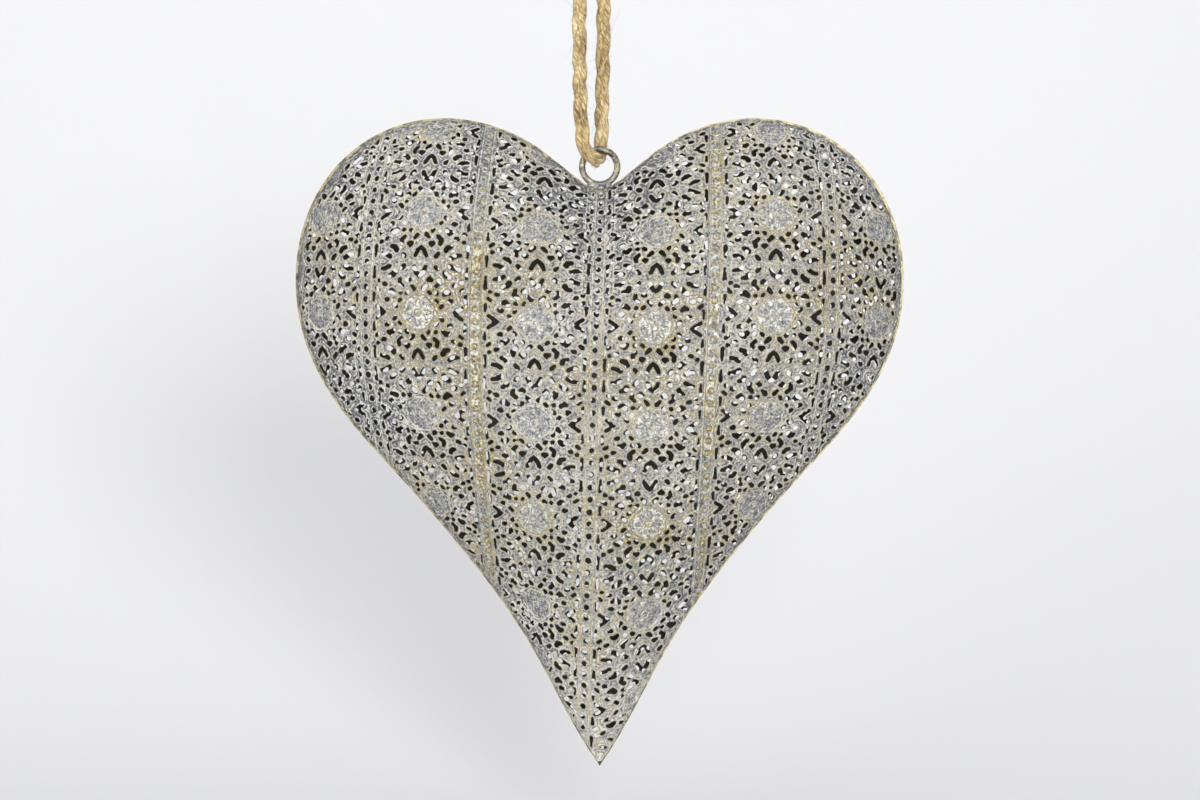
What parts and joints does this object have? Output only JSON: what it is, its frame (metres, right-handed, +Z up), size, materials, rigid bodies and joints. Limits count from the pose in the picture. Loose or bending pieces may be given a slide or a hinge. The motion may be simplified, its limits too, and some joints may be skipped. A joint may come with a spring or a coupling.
{
  "type": "hanging tin heart ornament",
  "caption": "Hollow puffed heart of pierced, embossed tin sheet with a brazed rim and a soldered wire ring, hung on a knotted jute cord.",
  "frame": {"origin": "where the loop of cord rests on the nail that carries it, just under the knot and between the two strands", "axes": "+Z up, front of the heart towards -Y, +X to the right of someone who looks at the front"},
  "size_m": [0.2, 0.0632, 0.2856],
  "materials": {
    "washed_tin": "grey-white wash over gold lacquer, worn to the gold on the raised parts",
    "worn_rim": "gold lacquer, thinly washed",
    "dark_wire": "dark, a little glossy",
    "solder": "dull, lumpy",
    "jute": "natural twisted fibre"
  },
  "bodies": {
    "cord": {"hanging_cord": "jute", "cord_knot": "jute"},
    "heart": {"front_left_strip": "washed_tin", "front_centre_strip": "washed_tin", "front_right_strip": "washed_tin", "back_left_strip": "washed_tin", "back_centre_strip": "washed_tin", "back_right_strip": "washed_tin", "rim_seam": "worn_rim", "hanging_ring": "dark_wire", "ring_solder": "solder"}
  },
  "joints": [
    {"name": "heart_swing", "type": "hinge", "parent": "cord", "child": "heart", "pos_m": [0.00275, 0, -0.06], "axis": [0, 1, 0], "range_deg": [-60, 50]}
  ]
}
